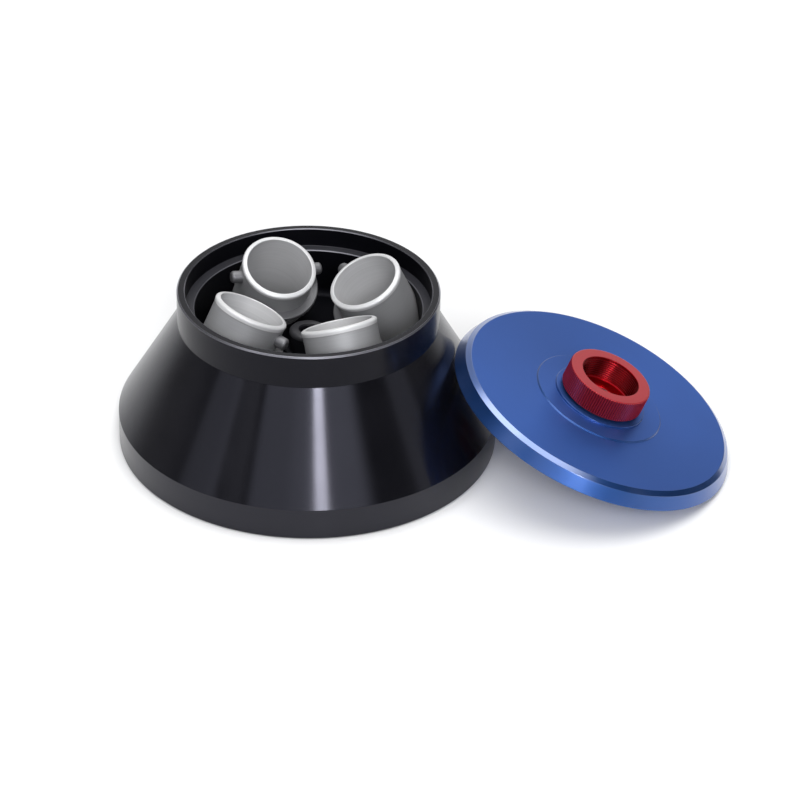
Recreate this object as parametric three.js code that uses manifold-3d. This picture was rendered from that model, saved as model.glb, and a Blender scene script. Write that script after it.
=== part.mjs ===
// Fixed-angle centrifuge rotor with four removable sleeves, its lid off and
// leaning against the cone. Millimetres and degrees, +Z up, base on z = 0.
import * as THREE from 'three';
import { mergeVertices } from 'three/addons/utils/BufferGeometryUtils.js';
import Module from 'manifold-3d';

const radians = THREE.MathUtils.degToRad;

// Clearances shared by all pieces
const fitGap = 0.3;
const cutOverrun = 2;
const weldDistance = 0.0001;

// Sides of the round shapes
const bodySides = 60;
const knobSides = 48;
const boreSides = 28;
const sleeveSides = 28;
const fittingSides = 24;
const smallSides = 12;
const hexSides = 6;
const arcSteps = 3;

// Sleeves, which stand in tilted bores
const sleeveCount = 4;
const firstSleeveAngle = 27.8;
const sleeveTilt = 27;
const sleeveBoreRadius = 19.6;
const sleeveWall = 2.4;
const sleeveRadius = sleeveBoreRadius + sleeveWall;
const sleeveFloorThickness = 3;
const sleeveCornerRadius = 5;
const sleeveRunningGap = 0.4;
const lipStep = 0.6;
const lipRadius = sleeveRadius + lipStep;
const lipHeight = 3.4;
const lipSlope = 0.9;
const shoulderWidth = 5;
const shoulderRadius = sleeveRadius + shoulderWidth;
const shoulderDepth = 16.2;
const shoulderThickness = 3.4;
const shoulderTrim = -4;
const lugRadius = 3.7;
const lugStandout = 5.9;
const lugReach = lipRadius + lugStandout;

// Lugs of each sleeve: turns from the side that faces away from the axis, and depth under the mouth
const lugAngles = [[95], [77.5, -95.5], [125], [150]];
const lugDepths = [5.8, 9, 9, 9];

// Shoulder of each sleeve, as a turn from the side that faces the axis
const shoulderTurns = [-22, 0, 0, 0];

// Room between neighbouring lips sets how far the sleeves stand from the axis
const lipSpacing = 7.13;
const rimCentreRadius = (lipRadius + lipSpacing / 2) / Math.sin(Math.PI / sleeveCount);
const rimCentreDrop = 3.6;

// Rotor body, heights
const rotorHeight = 100;
const collarHeight = 20;
const collarFootHeight = rotorHeight - collarHeight;
const bandHeight = 20;
const ledgeDepth = 11.8;
const ledgeHeight = rotorHeight - ledgeDepth;
const bowlDepth = 42;
const bowlFloorHeight = rotorHeight - bowlDepth;
const rimCentreHeight = rotorHeight - rimCentreDrop;

// The sleeves reach down to a floor of this thickness
const underSleeveThickness = 10.7;
const sleeveDrop = rimCentreHeight - underSleeveThickness - sleeveRadius * Math.sin(radians(sleeveTilt));
const sleeveLength = sleeveDrop / Math.cos(radians(sleeveTilt));

// Rotor body, radii from the bowl, which just clears the bores, to the base
const boreRadius = sleeveRadius + sleeveRunningGap;
const boreEdgeRoom = 0.68;
const boreLean = (rimCentreHeight - ledgeHeight) * Math.tan(radians(sleeveTilt));
const bowlRadius = rimCentreRadius + boreLean + boreRadius / Math.cos(radians(sleeveTilt)) + boreEdgeRoom;
const bowlCornerRadius = 5;
const ledgeWidth = 5.5;
const mouthRadius = bowlRadius + ledgeWidth;
const mouthChamfer = 0.4;
const collarWall = 4.8;
const collarRadius = mouthRadius + collarWall;
const collarChamfer = 0.8;
const coneSpread = 35.7;
const baseRadius = collarRadius + coneSpread;
const baseChamfer = 1.2;

// Rubber cushion in each sleeve
const cushionEdgeHeight = 6;
const cushionCentreHeight = 2.5;
const cushionChamfer = 1;

// Hold-down screw, its washer and its retaining ring
const washerThickness = 2;
const washerBottom = bowlFloorHeight + fitGap;
const washerTop = washerBottom + washerThickness;
const postRadius = 11.5;
const postHeight = 12.4;
const postBottom = washerTop + fitGap;
const postTop = postBottom + postHeight;
const postEdgeRadius = 3;
const postSocketRadius = 5;
const postSocketDepth = 11;
const postSocketChamfer = 1;
const washerStandout = 2.5;
const washerRadius = postRadius + washerStandout;
const shankRadius = 6;
const shankHoleRadius = shankRadius + fitGap;
const shankReach = 14;
const shankChamfer = 1;
const retainerStandout = 2.6;
const retainerRadius = shankRadius + retainerStandout;
const retainerThickness = 1.4;
const retainerGrooveDepth = 0.8;

// Recess in the underside, with the drive hub let into it
const recessDepth = 5;
const hubFlangeRadius = 40;
const hubFlangeThickness = 8;
const hubFlangeTop = recessDepth + hubFlangeThickness;
const recessMargin = 6;
const recessRadius = hubFlangeRadius + recessMargin;
const hubBarrelRadius = 20;
const hubCover = 8;
const hubTop = bowlFloorHeight - hubCover;
const hubWebThickness = 8;
const hubWebBottom = hubTop - hubWebThickness;
const hubChamfer = 1;
const taperMouthRadius = 12.5;
const retainerRoom = 0.9;
const taperEndRadius = retainerRadius + retainerRoom;
const retainerTop = hubWebBottom - fitGap;
const shankTip = hubWebBottom - shankReach;

// Screws that hold the hub, and pins that turn the rotor
const hubScrewCount = 4;
const hubScrewEdgeDistance = 9;
const hubScrewCircleRadius = hubFlangeRadius - hubScrewEdgeDistance;
const hubScrewRadius = 2.85;
const hubScrewLength = 20;
const hubScrewHeadRadius = 5;
const hubScrewHeadHeight = 5;
const hubScrewSocketRadius = 2.7;
const hubScrewSocketDepth = 2.6;
const hubScrewHeadBottom = recessDepth + fitGap;
const hubScrewHeadTop = hubScrewHeadBottom + hubScrewHeadHeight;
const hubScrewTip = hubScrewHeadTop + hubScrewLength;
const drivePinCount = 2;
const drivePinRadius = 2.5;
const drivePinLength = 8;
const drivePinReach = 3;
const drivePinRoom = 3;
const drivePinCircleRadius = taperMouthRadius + drivePinRoom + drivePinRadius;
const drivePinBottom = recessDepth - drivePinReach;
const drivePinTop = drivePinBottom + drivePinLength;
const pinChamfer = 0.5;

// Magnets in the underside, by which the machine knows the rotor
const magnetCount = 2;
const magnetEdgeDistance = 13;
const magnetCircleRadius = baseRadius - magnetEdgeDistance;
const magnetRadius = 4;
const magnetThickness = 3;

// Lid, with heights from its bottom edge up
const lidOverhang = 11.3;
const lidRadius = collarRadius + lidOverhang;
const lidEdgeChamfer = 0.4;
const lipDrop = rimCentreDrop + lipSlope * Math.cos(radians(sleeveTilt));
const rimRise = lipRadius * Math.sin(radians(sleeveTilt)) - lipDrop;
const rimClearance = 1.04;
const lidCeiling = rimRise + rimClearance;
const lidWeb = 2.9;
const lidThickness = lidCeiling + lidWeb;
const lidBevelHeight = 1.8;
const lidBevelWidth = 3;
const lidWallLean = 3.9;
const padHeight = 1.2;
const bossHeight = 0.7;
const padTop = lidThickness + bossHeight + padHeight;
const spigotGap = 0.6;
const spigotRadius = mouthRadius - spigotGap;
const spigotWall = 10.4;
const spigotDepth = 5;
const spigotChamfer = 0.6;
const lidHollowRadius = spigotRadius - spigotWall;
const lidHollowCorner = 2;

// Seal ring in the spigot of the lid
const sealSides = 6;
const sealRadius = 1.5;
const sealStandout = 0.45;
const sealLand = 1.1;
const sealCentreRadius = spigotRadius + sealStandout - sealRadius;
const sealCentreHeight = -sealLand - fitGap - sealRadius;

// Knob of the lid, on a neck that turns in the plate
const knobNeckRadius = 19.5;
const knobNeckHoleRadius = knobNeckRadius + fitGap;
const knobNeckWall = 3;
const knobLowerBoreRadius = knobNeckRadius - knobNeckWall;
const knobLedgeWidth = 1.3;
const knobBoreRadius = knobLowerBoreRadius + knobLedgeWidth;
const knobWall = 7.7;
const knobRadius = knobBoreRadius + knobWall;
const knobFootRise = 3.8;
const knobFoot = lidThickness + knobFootRise;
const knobHeight = 13.5;
const knobTop = knobFoot + knobHeight;
const knobTopChamfer = 0.8;
const knobFootChamfer = 0.5;
const knobMouthChamfer = 0.5;
const knobThreadDepth = 14;
const knobFloorThickness = 4;
const knobEndLand = 1.4;
const knobRingThickness = 1.3;
const knobRingGrooveDepth = 1;
const knobRingStandout = 2.9;
const knobRingRadius = knobNeckRadius + knobRingStandout;
const knobWasherInset = 2.5;
const knobWasherRadius = knobRadius - knobWasherInset;
const knobRingTop = lidCeiling - fitGap;
const knobRingBottom = knobRingTop - knobRingThickness;
const knobEnd = knobRingBottom - fitGap - knobEndLand;
const knobFloorTop = knobEnd + knobFloorThickness;

// Pad and boss of the lid round the knob
const padMargin = 2.7;
const padRadius = knobRadius + padMargin;
const bossMargin = 11.1;
const bossRadius = padRadius + bossMargin;

// How the lid leans: it stands on the edge of its foot and meets the cone
const lidLean = 21;
const lidAngle = -8;
const lidContactGap = 0.35;
const footRadius = lidRadius - lidEdgeChamfer;

// Stud that screws the lid down, short enough to clear the table
const studRadius = postSocketRadius - fitGap;
const studTableGap = 0.6;
const studRise = (footRadius - studRadius) * Math.sin(radians(lidLean)) - studTableGap;
const studReach = studRise / Math.cos(radians(lidLean));
const studTipChamfer = 1;
const studHeadRadius = 8;
const studHeadHeight = 5;
const studSocketRadius = 4;
const studSocketDepth = 3;

// Finishes
const finishes = {
  blackAnodised: { color: 0x17171a, roughness: 0.32, metalness: 0.9 },
  machinedAluminium: { color: 0xb4b5b9, roughness: 0.42, metalness: 0.85 },
  stainlessSteel: { color: 0xa9a9a8, roughness: 0.3, metalness: 1 },
  darkSteel: { color: 0x33343a, roughness: 0.38, metalness: 0.9 },
  blackRubber: { color: 0x1b1b1c, roughness: 0.85, metalness: 0 },
  blueAnodised: { color: 0x2c4f9e, roughness: 0.4, metalness: 0.75 },
  redAnodised: { color: 0x94202c, roughness: 0.36, metalness: 0.8 },
  nickelMagnet: { color: 0x8c8d90, roughness: 0.35, metalness: 1 },
  blackPlastic: { color: 0x202126, roughness: 0.55, metalness: 0 },
};

const wasm = await Module();
wasm.setup();

// Points of a round corner in a profile, from one angle to another
function arc(centreRadius, centreHeight, radius, fromAngle, toAngle) {
  const points = [];
  for (let step = 0; step <= arcSteps; step += 1) {
    const angle = radians(fromAngle + (toAngle - fromAngle) * step / arcSteps);
    points.push([centreRadius + radius * Math.cos(angle), centreHeight + radius * Math.sin(angle)]);
  }
  return points;
}

// A turned shape about Z, from a profile of [radius, height] points
function turned(profile, sides) {
  const points = profile.map(([radius, height]) => new THREE.Vector2(Math.max(radius, 0), height));
  const first = profile[0];
  if (first[0] > 0) {
    points.push(new THREE.Vector2(first[0], first[1]));
  }
  const geometry = new THREE.LatheGeometry(points, sides);
  geometry.rotateX(Math.PI / 2);
  return geometry;
}

// A plain upright cylinder between two heights
function rod(radius, bottom, top, sides) {
  return turned([[0, bottom], [radius, bottom], [radius, top], [0, top]], sides);
}

// A six-sided upright prism between two heights
function hexPrism(radius, bottom, top) {
  return rod(radius, bottom, top, hexSides);
}

// Six times the volume that the triangles enclose, negative if they face inwards
function signedVolume(positions, triangles) {
  const corner = [new THREE.Vector3(), new THREE.Vector3(), new THREE.Vector3()];
  let sum = 0;
  for (let start = 0; start < triangles.length; start += 3) {
    corner.forEach((point, index) => point.fromArray(positions, 3 * triangles[start + index]));
    sum += corner[0].dot(corner[1].clone().cross(corner[2]));
  }
  return sum;
}

// A closed geometry as a solid for joining and cutting
function solid(geometry, matrix = new THREE.Matrix4()) {
  const bare = geometry.clone().applyMatrix4(matrix);
  bare.deleteAttribute('normal');
  bare.deleteAttribute('uv');
  const merged = mergeVertices(bare, weldDistance);
  const positions = merged.attributes.position.array;
  const corners = Array.from(merged.index.array);
  const triangles = [];
  for (let start = 0; start < corners.length; start += 3) {
    const [a, b, c] = corners.slice(start, start + 3);
    if (a !== b && b !== c && c !== a) {
      triangles.push(a, b, c);
    }
  }
  if (signedVolume(positions, triangles) < 0) {
    triangles.reverse();
  }
  return new wasm.Manifold(new wasm.Mesh({
    numProp: 3,
    vertProperties: Float32Array.from(positions),
    triVerts: Uint32Array.from(triangles),
  }));
}

// A named mesh from a solid
function piece(name, body, finish) {
  const result = body.getMesh();
  const geometry = new THREE.BufferGeometry();
  geometry.setAttribute('position', new THREE.BufferAttribute(result.vertProperties, 3));
  geometry.setIndex(new THREE.BufferAttribute(result.triVerts, 1));
  geometry.computeVertexNormals();
  const mesh = new THREE.Mesh(geometry, new THREE.MeshStandardMaterial(finishes[finish]));
  mesh.name = name;
  return mesh;
}

// Places evenly spread round the axis, as matrices
function circlePlaces(count, radius, firstAngle) {
  const places = [];
  for (let index = 0; index < count; index += 1) {
    const turn = new THREE.Matrix4().makeRotationZ(radians(firstAngle) + index * 2 * Math.PI / count);
    places.push(turn.multiply(new THREE.Matrix4().makeTranslation(radius, 0, 0)));
  }
  return places;
}

// Sleeve frames: origin at the centre of the rim, Z out of the mouth, X away
// from the rotor's axis
const sleevePlaces = circlePlaces(sleeveCount, rimCentreRadius, firstSleeveAngle).map((place) => {
  const raised = place.multiply(new THREE.Matrix4().makeTranslation(0, 0, rimCentreHeight));
  return raised.multiply(new THREE.Matrix4().makeRotationY(-radians(sleeveTilt)));
});

// Places of the pieces in the underside
const betweenSleeves = firstSleeveAngle + 180 / sleeveCount;
const hubScrewPlaces = circlePlaces(hubScrewCount, hubScrewCircleRadius, betweenSleeves);
const drivePinPlaces = circlePlaces(drivePinCount, drivePinCircleRadius, firstSleeveAngle);
const magnetPlaces = circlePlaces(magnetCount, magnetCircleRadius, betweenSleeves);

// Bore for a sleeve, in the sleeve's frame
function sleeveBore() {
  const bottom = -sleeveLength - fitGap;
  const corner = sleeveCornerRadius;
  return turned([
    [0, bottom],
    ...arc(boreRadius - corner, bottom + corner, corner, -90, 0),
    [boreRadius, 0],
    [0, 0],
  ], boreSides);
}

function rotorBody() {
  const hubPocketRadius = hubFlangeRadius + fitGap;
  const barrelPocketRadius = hubBarrelRadius + fitGap;
  const shell = turned([
    [shankHoleRadius, bowlFloorHeight],
    [shankHoleRadius, hubTop + fitGap],
    [barrelPocketRadius, hubTop + fitGap],
    [barrelPocketRadius, hubFlangeTop + fitGap],
    [hubPocketRadius, hubFlangeTop + fitGap],
    [hubPocketRadius, recessDepth],
    [recessRadius, recessDepth],
    [recessRadius, 0],
    [baseRadius - baseChamfer, 0],
    [baseRadius, baseChamfer],
    [baseRadius, bandHeight],
    [collarRadius, collarFootHeight],
    [collarRadius, rotorHeight - collarChamfer],
    [collarRadius - collarChamfer, rotorHeight],
    [mouthRadius + mouthChamfer, rotorHeight],
    [mouthRadius, rotorHeight - mouthChamfer],
    [mouthRadius, ledgeHeight],
    [bowlRadius, ledgeHeight],
    ...arc(bowlRadius - bowlCornerRadius, bowlFloorHeight + bowlCornerRadius, bowlCornerRadius, 0, -90),
  ], bodySides);
  let body = solid(shell);
  for (const place of sleevePlaces) {
    body = body.subtract(solid(sleeveBore(), place));
  }
  const screwHole = rod(hubScrewRadius + fitGap, recessDepth, hubScrewTip + fitGap, smallSides);
  for (const place of hubScrewPlaces) {
    body = body.subtract(solid(screwHole, place));
  }
  const magnetPocket = rod(magnetRadius + fitGap, -cutOverrun, magnetThickness + 2 * fitGap, smallSides);
  for (const place of magnetPlaces) {
    body = body.subtract(solid(magnetPocket, place));
  }
  return piece('rotor_body', body, 'blackAnodised');
}

function driveHub() {
  const shape = turned([
    [taperMouthRadius, recessDepth],
    [hubFlangeRadius - hubChamfer, recessDepth],
    [hubFlangeRadius, recessDepth + hubChamfer],
    [hubFlangeRadius, hubFlangeTop],
    [hubBarrelRadius, hubFlangeTop],
    [hubBarrelRadius, hubTop - hubChamfer],
    [hubBarrelRadius - hubChamfer, hubTop],
    [shankHoleRadius, hubTop],
    [shankHoleRadius, hubWebBottom],
    [taperEndRadius, hubWebBottom],
  ], fittingSides);
  let body = solid(shape);
  const screwHole = rod(hubScrewRadius + fitGap, 0, hubFlangeTop + cutOverrun, smallSides);
  const headHole = rod(hubScrewHeadRadius + fitGap, 0, hubScrewHeadTop + fitGap, smallSides);
  for (const place of hubScrewPlaces) {
    body = body.subtract(solid(screwHole, place)).subtract(solid(headHole, place));
  }
  const pinHole = rod(drivePinRadius + fitGap, 0, drivePinTop + fitGap, smallSides);
  for (const place of drivePinPlaces) {
    body = body.subtract(solid(pinHole, place));
  }
  return piece('drive_hub', body, 'stainlessSteel');
}

function hubScrews() {
  const shape = turned([
    [0, hubScrewHeadBottom],
    [hubScrewHeadRadius, hubScrewHeadBottom],
    [hubScrewHeadRadius, hubScrewHeadTop],
    [hubScrewRadius, hubScrewHeadTop],
    [hubScrewRadius, hubScrewTip - pinChamfer],
    [hubScrewRadius - pinChamfer, hubScrewTip],
    [0, hubScrewTip],
  ], smallSides);
  const socket = hexPrism(hubScrewSocketRadius, 0, hubScrewHeadBottom + hubScrewSocketDepth);
  const body = solid(shape).subtract(solid(socket));
  return hubScrewPlaces.map((place, index) => {
    const mesh = piece(`hub_screw_${index + 1}`, body, 'stainlessSteel');
    mesh.applyMatrix4(place);
    return mesh;
  });
}

function drivePins() {
  const shape = turned([
    [0, drivePinBottom],
    [drivePinRadius - pinChamfer, drivePinBottom],
    [drivePinRadius, drivePinBottom + pinChamfer],
    [drivePinRadius, drivePinTop],
    [0, drivePinTop],
  ], smallSides);
  return drivePinPlaces.map((place, index) => {
    const mesh = piece(`drive_pin_${index + 1}`, solid(shape), 'stainlessSteel');
    mesh.applyMatrix4(place);
    return mesh;
  });
}

function idMagnets() {
  const shape = rod(magnetRadius, fitGap, fitGap + magnetThickness, smallSides);
  return magnetPlaces.map((place, index) => {
    const mesh = piece(`id_magnet_${index + 1}`, solid(shape), 'nickelMagnet');
    mesh.applyMatrix4(place);
    return mesh;
  });
}

function holdDownScrew() {
  const grooveRadius = shankRadius - retainerGrooveDepth;
  const grooveTop = retainerTop + fitGap;
  const grooveBottom = retainerTop - retainerThickness - fitGap;
  const shape = turned([
    [0, shankTip],
    [shankRadius - shankChamfer, shankTip],
    [shankRadius, shankTip + shankChamfer],
    [shankRadius, grooveBottom],
    [grooveRadius, grooveBottom],
    [grooveRadius, grooveTop],
    [shankRadius, grooveTop],
    [shankRadius, postBottom],
    [postRadius, postBottom],
    ...arc(postRadius - postEdgeRadius, postTop - postEdgeRadius, postEdgeRadius, 0, 90),
    [postSocketRadius + postSocketChamfer, postTop],
    [postSocketRadius, postTop - postSocketChamfer],
    [postSocketRadius, postTop - postSocketDepth],
    [0, postTop - postSocketDepth],
  ], fittingSides);
  return piece('hold_down_screw', solid(shape), 'darkSteel');
}

function holdDownWasher() {
  const inner = shankHoleRadius;
  const shape = turned([
    [inner, washerBottom],
    [washerRadius, washerBottom],
    [washerRadius, washerTop],
    [inner, washerTop],
  ], fittingSides);
  return piece('hold_down_washer', solid(shape), 'darkSteel');
}

function holdDownRing() {
  const inner = shankRadius - retainerGrooveDepth + fitGap;
  const bottom = retainerTop - retainerThickness;
  const shape = turned([
    [inner, bottom],
    [retainerRadius, bottom],
    [retainerRadius, retainerTop],
    [inner, retainerTop],
  ], fittingSides);
  return piece('hold_down_ring', solid(shape), 'stainlessSteel');
}

// A lifting lug, along +Z from the middle of the sleeve's wall
function lug() {
  const wallMiddle = (sleeveRadius + sleeveBoreRadius) / 2;
  const domeBase = lugReach - lugRadius;
  return turned([
    [0, wallMiddle],
    [lugRadius, wallMiddle],
    ...arc(0, domeBase, lugRadius, 0, 90),
  ], smallSides);
}

function sleeves() {
  const corner = sleeveCornerRadius;
  const outside = turned([
    [0, -sleeveLength],
    ...arc(sleeveRadius - corner, -sleeveLength + corner, corner, -90, 0),
    [sleeveRadius, -lipSlope - lipHeight],
    [lipRadius, -lipSlope],
    [sleeveBoreRadius, 0],
    [0, 0],
  ], sleeveSides);
  const shoulderBottom = -shoulderDepth - shoulderThickness;
  const shoulder = rod(shoulderRadius, shoulderBottom, -shoulderDepth, sleeveSides);
  const trimSize = 2 * shoulderRadius;
  const trim = new THREE.BoxGeometry(trimSize, 2 * trimSize, trimSize);
  trim.translate(shoulderTrim + trimSize / 2, 0, -shoulderDepth);
  const inside = rod(sleeveBoreRadius, -sleeveLength + sleeveFloorThickness, cutOverrun, sleeveSides);
  return sleevePlaces.map((place, index) => {
    const spin = new THREE.Matrix4().makeRotationZ(radians(shoulderTurns[index]));
    let body = solid(outside).add(solid(shoulder, spin).subtract(solid(trim, spin)));
    for (const angle of lugAngles[index]) {
      const lower = new THREE.Matrix4().makeTranslation(0, 0, -lugDepths[index]);
      const turn = new THREE.Matrix4().makeRotationZ(radians(angle));
      const lay = new THREE.Matrix4().makeRotationY(Math.PI / 2);
      body = body.add(solid(lug(), lower.multiply(turn).multiply(lay)));
    }
    const mesh = piece(`sleeve_${index + 1}`, body.subtract(solid(inside)), 'machinedAluminium');
    mesh.applyMatrix4(place);
    return mesh;
  });
}

function sleeveCushions() {
  const bottom = -sleeveLength + sleeveFloorThickness + fitGap;
  const radius = sleeveBoreRadius - fitGap;
  const sag = cushionEdgeHeight - cushionCentreHeight;
  const dishRadius = (radius * radius + sag * sag) / (2 * sag);
  const dishAngle = THREE.MathUtils.radToDeg(Math.asin(radius / dishRadius));
  const shape = turned([
    [0, bottom],
    [radius - cushionChamfer, bottom],
    [radius, bottom + cushionChamfer],
    ...arc(0, bottom + cushionCentreHeight + dishRadius, dishRadius, dishAngle - 90, -90),
  ], smallSides);
  return sleevePlaces.map((place, index) => {
    const mesh = piece(`sleeve_cushion_${index + 1}`, solid(shape), 'blackRubber');
    mesh.applyMatrix4(place);
    return mesh;
  });
}

function lidPlate() {
  const neckHole = knobNeckHoleRadius;
  const grooveRadius = sealCentreRadius - sealRadius - fitGap;
  const grooveHalf = sealRadius + fitGap;
  const wallTopRadius = lidRadius - lidWallLean;
  const shape = turned([
    [neckHole, lidCeiling],
    ...arc(lidHollowRadius - lidHollowCorner, lidCeiling - lidHollowCorner, lidHollowCorner, 90, 0),
    [lidHollowRadius, -spigotDepth],
    [spigotRadius - spigotChamfer, -spigotDepth],
    [spigotRadius, -spigotDepth + spigotChamfer],
    [spigotRadius, sealCentreHeight - grooveHalf],
    [grooveRadius, sealCentreHeight - grooveHalf],
    [grooveRadius, sealCentreHeight + grooveHalf],
    [spigotRadius, sealCentreHeight + grooveHalf],
    [spigotRadius, 0],
    [footRadius, 0],
    [lidRadius, lidEdgeChamfer],
    [wallTopRadius, lidThickness - lidBevelHeight],
    [wallTopRadius - lidBevelWidth, lidThickness],
    [bossRadius + bossHeight, lidThickness],
    [bossRadius, lidThickness + bossHeight],
    [padRadius, lidThickness + bossHeight],
    [padRadius, padTop],
    [neckHole, padTop],
  ], bodySides);
  return piece('lid_plate', solid(shape), 'blueAnodised');
}

function lidSeal() {
  const points = [];
  for (let step = 0; step < sealSides; step += 1) {
    const angle = step * 2 * Math.PI / sealSides;
    const radius = sealCentreRadius + sealRadius * Math.cos(angle);
    points.push([radius, sealCentreHeight + sealRadius * Math.sin(angle)]);
  }
  return piece('lid_seal', solid(turned(points, bodySides)), 'blackRubber');
}

function lidKnob() {
  const threadEnd = knobTop - knobThreadDepth;
  const grooveRadius = knobNeckRadius - knobRingGrooveDepth;
  const shape = turned([
    [studRadius + fitGap, knobEnd],
    [knobNeckRadius, knobEnd],
    [knobNeckRadius, knobRingBottom - fitGap],
    [grooveRadius, knobRingBottom - fitGap],
    [grooveRadius, lidCeiling],
    [knobNeckRadius, lidCeiling],
    [knobNeckRadius, knobFoot],
    [knobRadius - knobFootChamfer, knobFoot],
    [knobRadius, knobFoot + knobFootChamfer],
    [knobRadius, knobTop - knobTopChamfer],
    [knobRadius - knobTopChamfer, knobTop],
    [knobBoreRadius + knobMouthChamfer, knobTop],
    [knobBoreRadius, knobTop - knobMouthChamfer],
    [knobBoreRadius, threadEnd],
    [knobLowerBoreRadius, threadEnd],
    [knobLowerBoreRadius, knobFloorTop],
    [studRadius + fitGap, knobFloorTop],
  ], knobSides);
  return piece('lid_knob', solid(shape), 'redAnodised');
}

function knobWasher() {
  const inner = knobNeckHoleRadius;
  const bottom = padTop + fitGap;
  const top = knobFoot - fitGap;
  const shape = turned([
    [inner, bottom],
    [knobWasherRadius, bottom],
    [knobWasherRadius, top],
    [inner, top],
  ], sleeveSides);
  return piece('knob_washer', solid(shape), 'blackPlastic');
}

function knobRetainingRing() {
  const inner = knobNeckRadius - knobRingGrooveDepth + fitGap;
  const shape = turned([
    [inner, knobRingBottom],
    [knobRingRadius, knobRingBottom],
    [knobRingRadius, knobRingTop],
    [inner, knobRingTop],
  ], sleeveSides);
  return piece('knob_retaining_ring', solid(shape), 'stainlessSteel');
}

function lidStud() {
  const headBottom = knobFloorTop + fitGap;
  const headTop = headBottom + studHeadHeight;
  const shape = turned([
    [0, -studReach],
    [studRadius - studTipChamfer, -studReach],
    [studRadius, -studReach + studTipChamfer],
    [studRadius, headBottom],
    [studHeadRadius, headBottom],
    [studHeadRadius, headTop],
    [0, headTop],
  ], fittingSides);
  const socket = hexPrism(studSocketRadius, headTop - studSocketDepth, headTop + cutOverrun);
  return piece('lid_stud', solid(shape).subtract(solid(socket)), 'stainlessSteel');
}

// The lid's bottom edge stands on the table at one side and meets the cone at
// the other
function lidGroup() {
  const lean = radians(lidLean);
  const touchHeight = 2 * footRadius * Math.sin(lean);
  const coneRise = (touchHeight - bandHeight) / (collarFootHeight - bandHeight);
  const touchRadius = THREE.MathUtils.lerp(baseRadius, collarRadius, THREE.MathUtils.clamp(coneRise, 0, 1));
  const distance = touchRadius + lidContactGap + footRadius * Math.cos(lean);
  const group = new THREE.Group();
  group.add(lidPlate(), lidSeal(), lidKnob(), knobWasher(), knobRetainingRing(), lidStud());
  group.position.set(distance, 0, footRadius * Math.sin(lean));
  group.rotation.y = lean;
  const turntable = new THREE.Group();
  turntable.rotation.z = radians(lidAngle);
  turntable.add(group);
  return turntable;
}

const assembly = new THREE.Group();
assembly.add(
  rotorBody(),
  driveHub(),
  ...hubScrews(),
  ...drivePins(),
  ...idMagnets(),
  holdDownScrew(),
  holdDownWasher(),
  holdDownRing(),
  ...sleeves(),
  ...sleeveCushions(),
  lidGroup(),
);

// The origin lies under the middle of the whole set
const bounds = new THREE.Box3().setFromObject(assembly, true);
const middle = bounds.getCenter(new THREE.Vector3());
assembly.position.set(-middle.x, -middle.y, -bounds.min.z);

const group = new THREE.Group();
group.add(assembly);

export default group;
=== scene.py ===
import math

import bmesh
import bpy
from mathutils import Matrix, Vector


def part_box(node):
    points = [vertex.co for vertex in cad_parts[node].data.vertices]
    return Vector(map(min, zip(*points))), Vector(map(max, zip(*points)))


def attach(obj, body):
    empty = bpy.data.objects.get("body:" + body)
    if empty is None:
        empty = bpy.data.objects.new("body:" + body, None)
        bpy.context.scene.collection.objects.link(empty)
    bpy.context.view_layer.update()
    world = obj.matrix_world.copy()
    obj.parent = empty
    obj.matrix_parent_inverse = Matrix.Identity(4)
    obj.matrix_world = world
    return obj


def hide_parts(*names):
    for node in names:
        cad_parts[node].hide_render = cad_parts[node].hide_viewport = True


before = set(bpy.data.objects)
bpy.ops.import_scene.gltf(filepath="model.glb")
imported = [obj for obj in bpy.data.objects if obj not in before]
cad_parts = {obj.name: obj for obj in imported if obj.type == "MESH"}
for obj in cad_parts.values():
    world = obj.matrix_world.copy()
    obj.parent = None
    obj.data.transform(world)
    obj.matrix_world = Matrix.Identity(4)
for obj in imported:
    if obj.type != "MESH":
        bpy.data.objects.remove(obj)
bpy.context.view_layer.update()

MM = 0.001

# Clearances and the fineness of the meshes
GAP = 0.3
OVERRUN = 2
BODY_SIDES = 288
SLEEVE_SIDES = 160
KNURL_COUNT = 108
KNURL_STEPS = 4
KNOB_SIDES = KNURL_COUNT
FITTING_SIDES = 96
HUB_SIDES = 192
SMALL_SIDES = 48
HEX_SIDES = 6
SQUARE_SIDES = 4
ARC_STEPS = 4
SEAL_STEPS = 16
CUSHION_STEPS = 16
SHARP_ANGLE = math.radians(38)
WELD = 0.000001
AXIS_RADIUS = 0.0001
NEAR = 0.01

# Roundings: the usual one, the longest as a share of a side, and the half angle
# from which a corner counts as straight
USUAL_ROUNDING = 0.15
LONGEST_SHARE = 0.45
NEARLY_STRAIGHT = 1.5

# Rotor body, from the frame
rotor_low, rotor_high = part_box("rotor_body")
ROTOR_HEIGHT = (rotor_high.z - rotor_low.z) / MM
BASE_RADIUS = (rotor_high.y - rotor_low.y) / 2 / MM
AXIS = Vector(((rotor_low.x + rotor_high.x) / 2, (rotor_low.y + rotor_high.y) / 2, rotor_low.z))

BAND_HEIGHT = 20
COLLAR_FOOT = 80
COLLAR_RADIUS = 77.3
MOUTH_RADIUS = 72.5
LEDGE_HEIGHT = ROTOR_HEIGHT - 11.8
BOWL_RADIUS = 67
BOWL_FLOOR = 58
BOWL_CORNER = 5
BASE_EDGE = 1.2
COLLAR_EDGE = 0.8
MOUTH_EDGE = 0.45

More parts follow.
